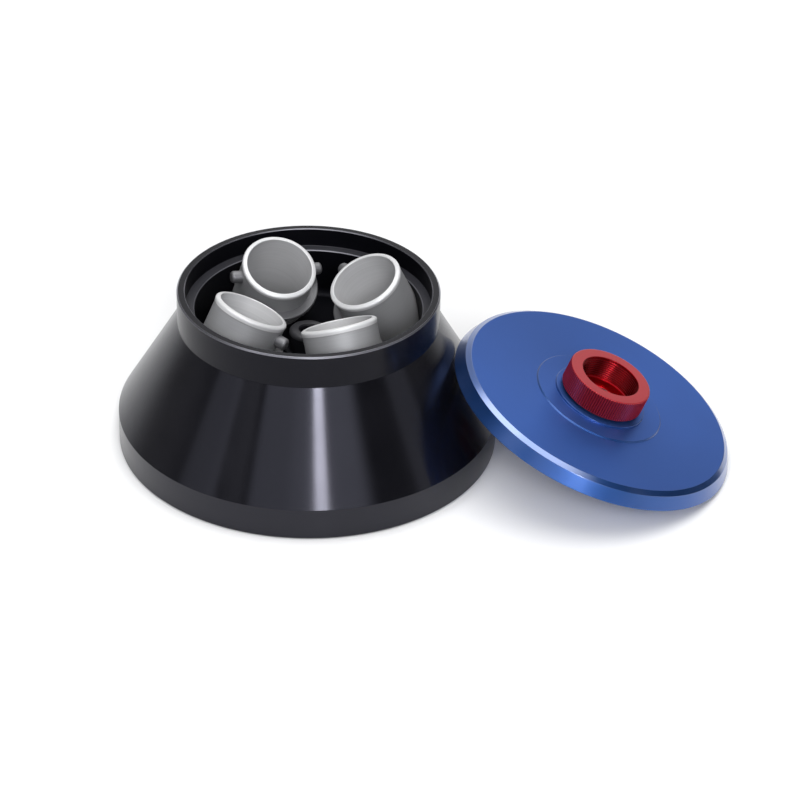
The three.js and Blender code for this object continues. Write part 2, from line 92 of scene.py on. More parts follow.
# Sleeves
SLEEVE_COUNT = 4
SLEEVE_ANGLE = 27.8
SLEEVE_TILT = 27
RIM_RADIUS = 37
RIM_HEIGHT = ROTOR_HEIGHT - 3.6
SLEEVE_BORE = 19.6
SLEEVE_RADIUS = 22
SLEEVE_LENGTH = 84.97
SLEEVE_FLOOR = 3
SLEEVE_CORNER = 5
SLEEVE_GAP = 0.4
LIP_RADIUS = 22.6
LIP_HEIGHT = 3.4
LIP_SLOPE = 0.9
LIP_SHINE = 2.6
SHOULDER_RADIUS = 27
SHOULDER_DEPTH = 16.2
SHOULDER_THICKNESS = 3.4
SHOULDER_TRIM = -4
SHOULDER_OVERLAP = 1
LUG_RADIUS = 3.7
LUG_REACH = 28.5
LUG_DOME = 3.4

# For each sleeve in turn
LUG_DEPTHS = (5.8, 9, 9, 9)
LUG_ANGLES = ((95,), (77.5, -95.5), (125,), (150,))
SHOULDER_TURNS = (-22, 0, 0, 0)

# Cushions
CUSHION_EDGE = 6
CUSHION_CENTRE = 2.5
CUSHION_CHAMFER = 1

# Hold-down screw, washer and ring
WASHER_BOTTOM = BOWL_FLOOR + GAP
WASHER_TOP = WASHER_BOTTOM + 2
WASHER_RADIUS = 14
POST_RADIUS = 11.5
POST_BOTTOM = WASHER_TOP + GAP
POST_TOP = POST_BOTTOM + 12.4
POST_EDGE = 3
POST_SOCKET = 5
POST_SOCKET_DEPTH = 11
POST_SOCKET_CHAMFER = 1
SHANK_RADIUS = 6
SHANK_TIP = 28
RETAINER_RADIUS = 8.6
RETAINER_THICKNESS = 1.4
GROOVE_DEPTH = 0.8

# Drive hub with its screws, pins, and the magnets
RECESS_DEPTH = 5
RECESS_RADIUS = 46
HUB_RADIUS = 40
HUB_FLANGE_TOP = RECESS_DEPTH + 8
HUB_BARREL = 20
HUB_TOP = 50
HUB_WEB = HUB_TOP - 8
HUB_CHAMFER = 1
TAPER_MOUTH = 12.5
TAPER_END = 9.5
SCREW_COUNT = 4
SCREW_CIRCLE = 31
SCREW_RADIUS = 2.85
SCREW_HEAD_RADIUS = 5
SCREW_HEAD_BOTTOM = RECESS_DEPTH + GAP
SCREW_HEAD_TOP = SCREW_HEAD_BOTTOM + 5
SCREW_TIP = SCREW_HEAD_TOP + 20
SCREW_SOCKET = 2.7
SCREW_SOCKET_DEPTH = 2.6
PIN_COUNT = 2
PIN_CIRCLE = 18
PIN_RADIUS = 2.5
PIN_BOTTOM = RECESS_DEPTH - 3
PIN_TOP = PIN_BOTTOM + 8
MAGNET_COUNT = 2
MAGNET_CIRCLE = 100
MAGNET_RADIUS = 4
MAGNET_THICKNESS = 3

# Lid, with heights from its bottom edge
LID_RADIUS = 88.6
LID_EDGE = 0.4
LID_WALL_LEAN = 3.9
LID_WALL_HEIGHT = 8
LID_BEVEL = 3
LID_THICKNESS = 9.8
LID_CEILING = 6.9
LID_HOLLOW = 61.5
LID_HOLLOW_CORNER = 2
BOSS_RADIUS = 39.3
BOSS_HEIGHT = 0.7
PAD_RADIUS = 28.2
PAD_TOP = LID_THICKNESS + BOSS_HEIGHT + 1.2
SPIGOT_RADIUS = MOUTH_RADIUS - 0.6
SPIGOT_DEPTH = 5
SEAL_RADIUS = 1.5
SEAL_CENTRE_RADIUS = SPIGOT_RADIUS + 0.45 - SEAL_RADIUS
SEAL_CENTRE_HEIGHT = -1.1 - GAP - SEAL_RADIUS
LID_LEAN = 21
LID_ANGLE = -8
LID_CONTACT = 0.35

# Knob with its washer, ring and stud
KNOB_RADIUS = 25.5
KNOB_NECK = 19.5
KNOB_BORE = 17.8
KNOB_LOWER_BORE = 16.5
KNOB_FOOT = LID_THICKNESS + 3.8
KNOB_TOP = LID_THICKNESS + 17.3
KNOB_GROOVE = KNOB_NECK - 1
THREAD_END = KNOB_TOP - 14
THREAD_START = KNOB_TOP - 0.5
THREAD_PITCH = 1.4
THREAD_ROWS_PER_TURN = 8
THREAD_GROOVE = 0.6
KNURL_DEPTH = 0.6
KNURL_REACH = 1.2
KNURL_FADE = 0.5
KNOB_RING_TOP = LID_CEILING - GAP
KNOB_RING_BOTTOM = KNOB_RING_TOP - 1.3
KNOB_RING_RADIUS = 22.4
KNOB_END = KNOB_RING_BOTTOM - GAP - 1.4
KNOB_FLOOR = KNOB_END + 4
KNOB_WASHER = 23
STUD_RADIUS = POST_SOCKET - GAP
STUD_REACH = 31.41
STUD_HEAD = 8
STUD_HEAD_TOP = KNOB_FLOOR + GAP + 5
STUD_SOCKET = 4
STUD_SOCKET_DEPTH = 3

# Camera at the photograph's view, placed from the rotor's axis
CAMERA_BACK = 1.51996
CAMERA_HEIGHT = 0.98444
CAMERA_YAW = 0.03626804
CAMERA_PITCH = 0.56347712
CAMERA_ROLL = 0.0261809
CAMERA_LENS = 135
CAMERA_SENSOR = 36

# Surface grain in mm, with the shares that the slow changes and the turning
# lines have in the tone of the metals
LINE_PITCH = 0.45
GRAIN_PITCH = 0.35
SLOW_PITCH = 35
SOFT_GRAIN_PITCH = 0.6
SOFT_SLOW_PITCH = 12
SLOW_SHARE = 0.6
LINE_SHARE = 0.4
# Painted shade in groove roots: how dark a root is painted, and how far past the root the shade closes
GROOVE_SHADE_TONE = 0.2
GROOVE_SHADE_CLOSING = 0.3

# Studio: floor, and the room's light in degrees from the camera and in sines of
# the elevation
FLOOR_HALF = 4.0
FLOOR_TONE = 0.82
FRONT_LEVEL = 0.03
BACK_LEVEL = 1.05
BACK_START = 138
BACK_END = 156
TOP_LEVEL = 2.5
TOP_START = 0.81
TOP_END = 0.95
PANEL_EDGE = 0.08

# Panels of light round the object, and one darker place: azimuth from the camera,
# half width, soft edge, lowest and highest sine of the elevation, strength, colour
WHITE = (1.0, 1.0, 1.0)
CLEAR = (1.0, 1.0, 1.02)
COOL = (0.96, 0.98, 1.06)
PANELS = [
    (8.6, 3.1, 1.3, 0.37, 0.62, 25.0, CLEAR),
    (-13, 20, 4, 0.33, 0.66, 1.30, COOL),
    (0, 5, 10, 0.33, 0.66, 0.40, COOL),
    (20, 12, 12, 0.38, 0.66, 2.30, COOL),
    (76, 7, 5, 0.10, 0.62, 0.45, COOL),
    (0, 85, 30, 0.02, 0.26, 0.30, CLEAR),
    (-125, 20, 22, -0.2, 0.9, 0.05, CLEAR),
    (-67, 9, 5, 0.30, 0.50, 1.20, COOL),
    (-52, 8, 6, 0.54, 0.74, 2.20, CLEAR),
    (-162, 8, 8, -0.3, 0.9, -0.60, WHITE),
]

# Lamps: name, place, side and power
LAMPS = [
    ("top_softbox", (0.1, -0.2, 1.7), 1.4, 6),
    ("front_softbox", (-0.3, -1.6, 1.5), 1.2, 14),
]
LAMP_AIM = Vector((0, 0, 0.05))


def make_camera():
    forward = Vector((
        math.sin(CAMERA_YAW) * math.cos(CAMERA_PITCH),
        math.cos(CAMERA_YAW) * math.cos(CAMERA_PITCH),
        -math.sin(CAMERA_PITCH),
    ))
    level = Vector((math.cos(CAMERA_YAW), -math.sin(CAMERA_YAW), 0))
    upward = level.cross(forward)
    right = math.cos(CAMERA_ROLL) * level + math.sin(CAMERA_ROLL) * upward
    up = math.cos(CAMERA_ROLL) * upward - math.sin(CAMERA_ROLL) * level
    place = AXIS + Vector((0, -CAMERA_BACK, CAMERA_HEIGHT))
    turn = Matrix((right, up, -forward)).transposed().to_4x4()
    data = bpy.data.cameras.new("camera")
    data.lens = CAMERA_LENS
    data.sensor_width = CAMERA_SENSOR
    camera = bpy.data.objects.new("camera", data)
    camera.matrix_world = Matrix.Translation(place) @ turn
    bpy.context.scene.collection.objects.link(camera)
    bpy.context.scene.camera = camera


# Frames of the turned pieces

def moved(x=0, y=0, z=0):
    return Matrix.Translation(Vector((x, y, z)) * MM)


def turned_about(degrees, axis):
    return Matrix.Rotation(math.radians(degrees), 4, axis)


def circle_places(count, radius, first_angle, height=0):
    places = []
    for index in range(count):
        turn = turned_about(first_angle + index * 360 / count, "Z")
        places.append(rotor_place @ turn @ moved(radius, 0, height))
    return places


rotor_place = Matrix.Translation(AXIS)
sleeve_places = [
    place @ turned_about(-SLEEVE_TILT, "Y")
    for place in circle_places(SLEEVE_COUNT, RIM_RADIUS, SLEEVE_ANGLE, RIM_HEIGHT)
]
between_angle = SLEEVE_ANGLE + 180 / SLEEVE_COUNT
screw_places = circle_places(SCREW_COUNT, SCREW_CIRCLE, between_angle)
pin_places = circle_places(PIN_COUNT, PIN_CIRCLE, SLEEVE_ANGLE)
magnet_places = circle_places(MAGNET_COUNT, MAGNET_CIRCLE, between_angle)


def find_lid_place():
    lean = math.radians(LID_LEAN)
    foot = LID_RADIUS - LID_EDGE
    touch_share = (2 * foot * math.sin(lean) - BAND_HEIGHT) / (COLLAR_FOOT - BAND_HEIGHT)
    touch_radius = BASE_RADIUS + touch_share * (COLLAR_RADIUS - BASE_RADIUS)
    distance = touch_radius + LID_CONTACT + foot * math.cos(lean)
    place = rotor_place @ turned_about(LID_ANGLE, "Z")
    return place @ moved(distance, 0, foot * math.sin(lean)) @ turned_about(LID_LEAN, "Y")


lid_place = find_lid_place()


# Turned meshes. An outline is a list of corners (radius, height, rounding,
# finish), where the finish is that of the face that starts there.

def corner_points(before, corner, after, rounding):
    here = Vector(corner)
    back = Vector(before) - here
    ahead = Vector(after) - here
    half = back.angle(ahead, math.pi) / 2
    if rounding <= 0 or half > NEARLY_STRAIGHT:
        return [here]
    longest = LONGEST_SHARE * min(back.length, ahead.length)
    reach = min(rounding / math.tan(half), longest)
    centre = here + (back.normalized() + ahead.normalized()).normalized() * reach / math.cos(half)
    start = here + back.normalized() * reach - centre
    end = here + ahead.normalized() * reach - centre
    sweep = math.pi - 2 * half
    points = []
    for step in range(ARC_STEPS + 1):
        share = step / ARC_STEPS
        mix = (math.sin((1 - share) * sweep) * start + math.sin(share * sweep) * end) / math.sin(sweep)
        points.append(centre + mix)
    return points


def rounded(outline):
    usual = (USUAL_ROUNDING, 0)
    corners = [corner + usual[len(corner) - 2:] for corner in outline]
    points = []
    for index, (radius, height, rounding, finish) in enumerate(corners):
        before = corners[index - 1][:2]
        after = corners[(index + 1) % len(corners)][:2]
        limit = 0 if radius < AXIS_RADIUS else rounding
        earlier = corners[index - 1][3]
        arc = corner_points(before, (radius, height), after, limit)
        for number, point in enumerate(arc):
            last = number == len(arc) - 1
            points.append((point.x, point.y, finish if last else max(finish, earlier)))
    return points


def lathe(name, points, place, sides, waves=None):
    """A closed mesh turned from points (radius, height, finish[, sides])."""
    mesh = bpy.data.meshes.new(name)
    shape = bmesh.new()
    rings = []
    for row, point in enumerate(points):
        radius, height = point[0], point[1]
        count = point[3] if len(point) > 3 else sides
        if radius < AXIS_RADIUS:
            rings.append([shape.verts.new((0, 0, height * MM))])
            continue
        ring = []
        for step in range(count):
            angle = step * 2 * math.pi / count
            reach = radius + (waves(row, angle, height) if waves else 0)
            spot = Vector((reach * math.cos(angle), reach * math.sin(angle), height))
            ring.append(shape.verts.new(spot * MM))
        rings.append(ring)
    for row, ring in enumerate(rings):
        following = rings[(row + 1) % len(rings)]
        if len(ring) == 1 and len(following) == 1:
            continue
        band(shape, ring, following, points[row][2])
    bmesh.ops.recalc_face_normals(shape, faces=shape.faces)
    if shape.calc_volume(signed=True) < 0:
        bmesh.ops.reverse_faces(shape, faces=shape.faces)
    shape.to_mesh(mesh)
    shape.free()
    obj = bpy.data.objects.new(name, mesh)
    obj.matrix_world = place
    bpy.context.scene.collection.objects.link(obj)
    return obj


def band(shape, lower, upper, finish):
    """Faces between two rings, whose counts divide each other."""
    count = min(len(lower), len(upper))
    if count == 1:
        count = max(len(lower), len(upper))
    for step in range(count):
        one = spans(lower, step, count)
        two = spans(upper, step, count)
        face = shape.faces.new(one + two[::-1])
        face.material_index = finish
        face.smooth = True


def spans(ring, step, count):
    if len(ring) == 1:
        return [ring[0]]
    share = len(ring) // count
    return [ring[(step * share + k) % len(ring)] for k in range(share + 1)]


def turned(name, outline, place, sides):
    return lathe(name, rounded(outline), place, sides)


def rod(name, radius, bottom, top, place, sides, rounding=0.0):
    outline = [(0, bottom), (radius, bottom, rounding), (radius, top, rounding), (0, top)]
    return turned(name, outline, place, sides)


def joined(piece, tool, operation):
    """A boolean of the piece with the tool, which goes."""
    modifier = piece.modifiers.new("join", "BOOLEAN")
    modifier.operation = operation
    modifier.solver = "EXACT"
    modifier.object = tool
    bpy.context.view_layer.update()
    graph = bpy.context.evaluated_depsgraph_get()
    result = bpy.data.meshes.new_from_object(piece.evaluated_get(graph))
    piece.modifiers.clear()
    piece.data = result
    bpy.data.objects.remove(tool)


def baked(piece):
    """The place goes into the mesh, and each point keeps its own place and turning way."""
    place = piece.matrix_world.copy()
    spin = place.to_3x3()
    own = piece.data.attributes.new("own", "FLOAT_VECTOR", "POINT")
    around = piece.data.attributes.new("around", "FLOAT_VECTOR", "POINT")
    for point, spot, way in zip(piece.data.vertices, own.data, around.data):
        spot.vector = point.co
        way.vector = (spin @ Vector((-point.co.y, point.co.x, 0))).normalized()
    piece.data.transform(place)
    piece.matrix_world = Matrix.Identity(4)


def finished(piece, body, nodes, materials):
    """Shading, finishes and the place in the frame of one piece."""
    shape = bmesh.new()
    shape.from_mesh(piece.data)
    bmesh.ops.remove_doubles(shape, verts=shape.verts, dist=WELD)
    for face in shape.faces:
        face.smooth = True
    shape.to_mesh(piece.data)
    shape.free()
    baked(piece)
    for material in materials:
        piece.data.materials.append(material)
    piece.data.set_sharp_from_angle(angle=SHARP_ANGLE)
    weights = piece.modifiers.new("normals", "WEIGHTED_NORMAL")
    weights.keep_sharp = True
    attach(piece, body)
    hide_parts(*nodes)


# Node helpers for the finishes

class Finish:
    """A material with one shader, and nodes added by short calls."""

    def __init__(self, name):
        self.material = bpy.data.materials.new(name)
        self.material.use_nodes = True
        self.tree = self.material.node_tree
        self.shader = next(n for n in self.tree.nodes if n.type == "BSDF_PRINCIPLED")
        self.place = self.add("ShaderNodeAttribute", attribute_name="own").outputs["Vector"]

    def add(self, kind, **settings):
        node = self.tree.nodes.new(kind)
        for key, value in settings.items():
            setattr(node, key, value)
        return node

    def link(self, source, target):
        self.tree.links.new(source, target)

    def set(self, **values):
        for key, value in values.items():
            self.shader.inputs[key.replace("_", " ")].default_value = value

    def sum(self, kind, first, second):
        node = self.add("ShaderNodeMath", operation=kind)
        for socket, value in zip(node.inputs, (first, second)):
            if isinstance(value, (int, float)):
                socket.default_value = value
            else:
                self.link(value, socket)
        return node.outputs[0]

    def ring_place(self):
        """Radius and height about the piece's own axis, as a vector."""
        split = self.add("ShaderNodeSeparateXYZ")
        self.link(self.place, split.inputs[0])
        squares = self.sum("ADD", self.sum("MULTIPLY", split.outputs[0], split.outputs[0]),
                           self.sum("MULTIPLY", split.outputs[1], split.outputs[1]))
        join = self.add("ShaderNodeCombineXYZ")
        self.link(self.sum("SQRT", squares, 0), join.inputs[0])
        self.link(split.outputs[2], join.inputs[1])
        return join.outputs[0]

    def groove_shade_share(self, ring, tip, root, low, high):
        """Mask of painted shade: 1 at the root of a groove in a round face between two heights, 0
        outside.
        """
        split = self.add("ShaderNodeSeparateXYZ")
        self.link(ring, split.inputs[0])
        radius, height = split.outputs[0], split.outputs[1]
        depth = self.span(radius, 0, 1, tip * MM, root * MM)
        end = root + GROOVE_SHADE_CLOSING * (root - tip)
        closing = self.span(radius, 1, 0, root * MM, end * MM)
        window = self.sum("MULTIPLY", self.sum("GREATER_THAN", height, low * MM),
                          self.sum("LESS_THAN", height, high * MM))
        return self.sum("MULTIPLY", window, self.sum("MULTIPLY", depth, closing))

    def noise(self, place, pitch, detail=2.0, roughness=0.5):
        node = self.add("ShaderNodeTexNoise")
        node.inputs["Scale"].default_value = 1 / (pitch * MM)
        node.inputs["Detail"].default_value = detail
        node.inputs["Roughness"].default_value = roughness
        self.link(place, node.inputs["Vector"])
        return node.outputs[0]

    def span(self, value, low, high, from_low=0.3, from_high=0.7):
        node = self.add("ShaderNodeMapRange")
        self.link(value, node.inputs["Value"])
        ends = {"From Min": from_low, "From Max": from_high, "To Min": low, "To Max": high}
        for key, number in ends.items():
            node.inputs[key].default_value = number
        return node.outputs[0]

    def blend(self, factor, first, second):
        node = self.add("ShaderNodeMix", data_type="RGBA")
        self.link(factor, node.inputs["Factor"])
        for socket, value in ((node.inputs[6], first), (node.inputs[7], second)):
            if isinstance(value, tuple):
                socket.default_value = (*value, 1)
            else:
                self.link(value, socket)
        return node.outputs[2]

    def bump(self, heights):
        """Bumps of (height, depth in mm), one on the other."""
        normal = None
        for height, depth in heights:
            node = self.add("ShaderNodeBump")
            node.inputs["Strength"].default_value = 1
            node.inputs["Distance"].default_value = depth * MM
            self.link(height, node.inputs["Height"])
            if normal:
                self.link(normal, node.inputs["Normal"])
            normal = node.outputs[0]
        self.link(normal, self.shader.inputs["Normal"])

    def brushed(self, amount):
        """Highlights drawn out across the turning lines."""
        around = self.add("ShaderNodeAttribute", attribute_name="around")
        ride = self.add("ShaderNodeVectorTransform", vector_type="VECTOR", convert_from="OBJECT",
                        convert_to="WORLD")
        self.link(around.outputs["Vector"], ride.inputs[0])
        self.link(ride.outputs[0], self.shader.inputs["Tangent"])
        self.set(Anisotropic=amount, Anisotropic_Rotation=0.25)

    def colour(self, source):
        self.link(source, self.shader.inputs["Base Color"])

    def roughness(self, source):
        self.link(source, self.shader.inputs["Roughness"])


def turned_metal(name, dark, light, rough_low, rough_high, metal, brush, line_depth,
                 grain_depth=0.004, shaded_grooves=None, **more):
    """Metal with turning lines, fine grain, slow changes of tone, and painted shade darkening the
    groove roots.
    """
    finish = Finish(name)
    ring = finish.ring_place()
    lines = finish.noise(ring, LINE_PITCH, detail=3)
    grain = finish.noise(finish.place, GRAIN_PITCH, detail=2)
    slow = finish.noise(finish.place, SLOW_PITCH, detail=2)
    slow_tone = finish.sum("MULTIPLY", slow, SLOW_SHARE)
    line_tone = finish.sum("MULTIPLY", lines, LINE_SHARE)
    tone = finish.sum("ADD", slow_tone, line_tone)
    colour = finish.blend(finish.span(tone, 0, 1), dark, light)
    # Painted shade: the groove roots are darkened to stand in for the shade that the knurling and the
    # threads hold
    if shaded_grooves:
        groove = tuple(GROOVE_SHADE_TONE * value for value in dark)
        colour = finish.blend(finish.groove_shade_share(ring, *shaded_grooves), colour, groove)
    finish.colour(colour)
    finish.roughness(finish.span(tone, rough_low, rough_high))
    finish.bump([(lines, line_depth), (grain, grain_depth)])
    finish.set(Metallic=metal, **more)
    if brush:
        finish.brushed(brush)
    return finish.material


def make_finishes():
    black = ((0.0014, 0.0014, 0.0022), (0.0024, 0.0024, 0.0036))
    tint = (0.93, 0.93, 1.10, 1)
    # Zones of painted shade in the knurling and the threads: crest radius, root radius, lowest and
    # highest height
    knurl_shade_zone = (KNOB_RADIUS, KNOB_RADIUS - KNURL_DEPTH, KNOB_FOOT + GAP, KNOB_TOP - 2 * GAP)
    thread_shade_zone = (KNOB_BORE, KNOB_BORE + THREAD_GROOVE, THREAD_END, KNOB_TOP - 2 * GAP)
    return {
        "black": turned_metal(
            "black_anodised", *black, 0.17, 0.23, 0.0, 0.95, 0.005, IOR=1.45, Specular_Tint=tint),
        "inside": turned_metal(
            "black_anodised_inside", *black, 0.30, 0.40, 0.0, 0.6, 0.004, IOR=1.2, Specular_Tint=tint),
        "collar": turned_metal(
            "black_anodised_collar", *black, 0.18, 0.24, 0.0, 0.9, 0.005, IOR=1.28, Specular_Tint=tint),
        "ledge": turned_metal(
            "black_anodised_ledge", (0.020, 0.020, 0.024), (0.030, 0.030, 0.036),
            0.40, 0.50, 0.0, 0.5, 0.004, IOR=1.4),
        # Grey metal on the chamfers of the rotor's collar, mouth and ledge: partly edge wear, partly a
        # painted highlight line
        "black_edge_highlight": turned_metal(
            "black_anodised_edge_highlight", (0.24, 0.24, 0.27), (0.34, 0.34, 0.38),
            0.24, 0.34, 0.9, 0.3, 0.003),
        "satin": turned_metal(
            "satin_aluminium", (0.31, 0.312, 0.32), (0.43, 0.432, 0.44),
            0.50, 0.60, 0.50, 0.0, 0.010, grain_depth=0.018),
        # A lighter copy of the aluminium for the inside of the sleeves: partly a less metallic finish,
        # partly painted light
        "bore": turned_metal(
            "blasted_aluminium_lit", (0.43, 0.43, 0.435), (0.58, 0.58, 0.585),
            0.50, 0.62, 0.15, 0.0, 0.012, grain_depth=0.020),
        # Darker aluminium for the lugs and shoulders of the sleeves: partly their own tone, partly
        # painted shade
        "lug": turned_metal(
            "milled_aluminium_shaded", (0.18, 0.18, 0.188), (0.25, 0.25, 0.26),
            0.42, 0.54, 0.75, 0.0, 0.006, grain_depth=0.010),
        "bright": turned_metal(
            "bright_aluminium", (0.60, 0.60, 0.605), (0.68, 0.68, 0.685),
            0.34, 0.46, 0.25, 0.4, 0.005),
        "steel": turned_metal(
            "stainless_steel", (0.42, 0.42, 0.41), (0.52, 0.52, 0.51),
            0.24, 0.36, 1.0, 0.5, 0.006),
        "dark_steel": turned_metal(
            "dark_steel", (0.006, 0.006, 0.008), (0.009, 0.009, 0.011),
            0.36, 0.48, 0.0, 0.3, 0.004, IOR=1.27),
        # Lighter steel on the rounded top of the post: a painted highlight
        "steel_painted_highlight": turned_metal(
            "steel_painted_highlight", (0.028, 0.028, 0.032), (0.050, 0.050, 0.055),
            0.28, 0.38, 0.4, 0.3, 0.004),
        "blue": turned_metal(
            "blue_anodised", (0.046, 0.128, 0.450), (0.054, 0.146, 0.495),
            0.42, 0.50, 0.90, 0.35, 0.004),
        "blue_edge": turned_metal(
            "blue_anodised_edge", (0.011, 0.074, 0.295), (0.014, 0.084, 0.330),
            0.34, 0.42, 0.90, 0.2, 0.003, Coat_Weight=1.0, Coat_Roughness=0.25),
        "blue_bevel": turned_metal(
            "blue_anodised_bevel", (0.010, 0.085, 0.340), (0.014, 0.096, 0.380),
            0.28, 0.36, 0.90, 0.2, 0.003, Coat_Weight=1.0, Coat_Roughness=0.14, Coat_IOR=2.4),
        "red": turned_metal(
            "red_anodised", (0.37, 0.010, 0.018), (0.44, 0.013, 0.023),
            0.30, 0.38, 0.5, 0.2, 0.004, shaded_grooves=knurl_shade_zone, Coat_Weight=0.35, Coat_Roughness=0.2),
        # A darker copy of the red for the threaded part of the bore: painted shade
        "red_thread_shaded": turned_metal(
            "red_anodised_thread_shaded", (0.24, 0.003, 0.007), (0.32, 0.005, 0.010),
            0.24, 0.34, 0.9, 0.0, 0.004, shaded_grooves=thread_shade_zone),
        # A brighter copy of the red for the lower bore and its floor: painted light
        "red_bore_lit": turned_metal(
            "red_anodised_bore_lit", (0.44, 0.003, 0.009), (0.54, 0.005, 0.012),
            0.24, 0.34, 0.9, 0.0, 0.004),
        "nickel": turned_metal(
            "nickel_magnet", (0.40, 0.39, 0.37), (0.52, 0.51, 0.48),
            0.22, 0.34, 1.0, 0.0, 0.003),
        "rubber": soft_black(
            "black_rubber", (0.012, 0.012, 0.012), (0.024, 0.024, 0.024), 0.62, 0.8, 0.02),
        "plastic": soft_black(
            "black_plastic", (0.010, 0.010, 0.012), (0.018, 0.018, 0.02), 0.42, 0.55, 0.01),
    }


def soft_black(name, dark, light, rough_low, rough_high, grain_depth):
    """Rubber or plastic with a fine grain and slow changes of tone."""
    finish = Finish(name)
    grain = finish.noise(finish.place, SOFT_GRAIN_PITCH, detail=4, roughness=0.65)
    slow = finish.noise(finish.place, SOFT_SLOW_PITCH, detail=2)
    finish.colour(finish.blend(finish.span(slow, 0, 1), dark, light))
    finish.roughness(finish.span(grain, rough_low, rough_high))
    finish.bump([(grain, grain_depth)])
    return finish.material


# The rotor

def rotor_outline():
    hub_pocket = HUB_RADIUS + GAP
    barrel_pocket = HUB_BARREL + GAP
    return [
        (SHANK_RADIUS + GAP, BOWL_FLOOR, 0.4),
        (SHANK_RADIUS + GAP, HUB_TOP + GAP),
        (barrel_pocket, HUB_TOP + GAP),
        (barrel_pocket, HUB_FLANGE_TOP + GAP),
        (hub_pocket, HUB_FLANGE_TOP + GAP),
        (hub_pocket, RECESS_DEPTH, 0.3),
        (RECESS_RADIUS, RECESS_DEPTH, 0.5),
        (RECESS_RADIUS, 0, 0.5),
        (BASE_RADIUS - BASE_EDGE, 0, 0.3),
        (BASE_RADIUS, BASE_EDGE, 0.6),
        (BASE_RADIUS, BAND_HEIGHT, 0.35),
        (COLLAR_RADIUS, COLLAR_FOOT, 0.5, 3),
        (COLLAR_RADIUS, ROTOR_HEIGHT - COLLAR_EDGE, 0.2, 4),
        (COLLAR_RADIUS - COLLAR_EDGE, ROTOR_HEIGHT, 0.2, 3),
        (MOUTH_RADIUS + MOUTH_EDGE, ROTOR_HEIGHT, 0.06, 4),
        (MOUTH_RADIUS, ROTOR_HEIGHT - MOUTH_EDGE, 0.06, 1),
        (MOUTH_RADIUS, LEDGE_HEIGHT, 0.4, 2),
        (BOWL_RADIUS + MOUTH_EDGE, LEDGE_HEIGHT, 0.06, 4),
        (BOWL_RADIUS, LEDGE_HEIGHT - MOUTH_EDGE, 0.06, 1),
        (BOWL_RADIUS, BOWL_FLOOR, BOWL_CORNER, 1),
    ]


def make_rotor(finishes):
    body = turned("rotor_shell", rotor_outline(), rotor_place, BODY_SIDES)
    bore = [
        (0, -SLEEVE_LENGTH - GAP, 0, 1),
        (SLEEVE_RADIUS + SLEEVE_GAP, -SLEEVE_LENGTH - GAP, SLEEVE_CORNER, 1),
        (SLEEVE_RADIUS + SLEEVE_GAP, 0, 0, 1),
        (0, 0, 0, 1),
    ]
    for place in sleeve_places:
        joined(body, turned("bore", bore, place, SLEEVE_SIDES), "DIFFERENCE")
    for place in screw_places:
        hole = rod("hole", SCREW_RADIUS + GAP, RECESS_DEPTH, SCREW_TIP + GAP, place, SMALL_SIDES)
        joined(body, hole, "DIFFERENCE")
    for place in magnet_places:
        pocket_top = MAGNET_THICKNESS + 2 * GAP
        pocket = rod("pocket", MAGNET_RADIUS + GAP, -OVERRUN, pocket_top, place, SMALL_SIDES)
        joined(body, pocket, "DIFFERENCE")
    # The chamfers marked with finish 4 take the grey metal, partly a painted highlight line
    finished(body, "rotor", ["rotor_body"],
             [finishes[name] for name in ("black", "inside", "ledge", "collar", "black_edge_highlight")])


def make_hub(finishes):
    hub = turned("hub_shell", [
        (TAPER_MOUTH, RECESS_DEPTH, 0.5),
        (HUB_RADIUS - HUB_CHAMFER, RECESS_DEPTH, 0.3),
        (HUB_RADIUS, RECESS_DEPTH + HUB_CHAMFER, 0.3),
        (HUB_RADIUS, HUB_FLANGE_TOP, 0.3),
        (HUB_BARREL, HUB_FLANGE_TOP, 0.3),
        (HUB_BARREL, HUB_TOP - HUB_CHAMFER, 0.3),
        (HUB_BARREL - HUB_CHAMFER, HUB_TOP, 0.3),
        (SHANK_RADIUS + GAP, HUB_TOP, 0.2),
        (SHANK_RADIUS + GAP, HUB_WEB, 0.2),
        (TAPER_END, HUB_WEB, 0.2),
    ], rotor_place, HUB_SIDES)
    for place in screw_places:
        shank = rod("hole", SCREW_RADIUS + GAP, 0, HUB_FLANGE_TOP + OVERRUN, place, SMALL_SIDES)
        joined(hub, shank, "DIFFERENCE")
        head = rod("hole", SCREW_HEAD_RADIUS + GAP, 0, SCREW_HEAD_TOP + GAP, place, SMALL_SIDES)
        joined(hub, head, "DIFFERENCE")
    for place in pin_places:
        hole = rod("hole", PIN_RADIUS + GAP, 0, PIN_TOP + GAP, place, SMALL_SIDES)
        joined(hub, hole, "DIFFERENCE")
    finished(hub, "rotor", ["drive_hub"], [finishes["steel"]])


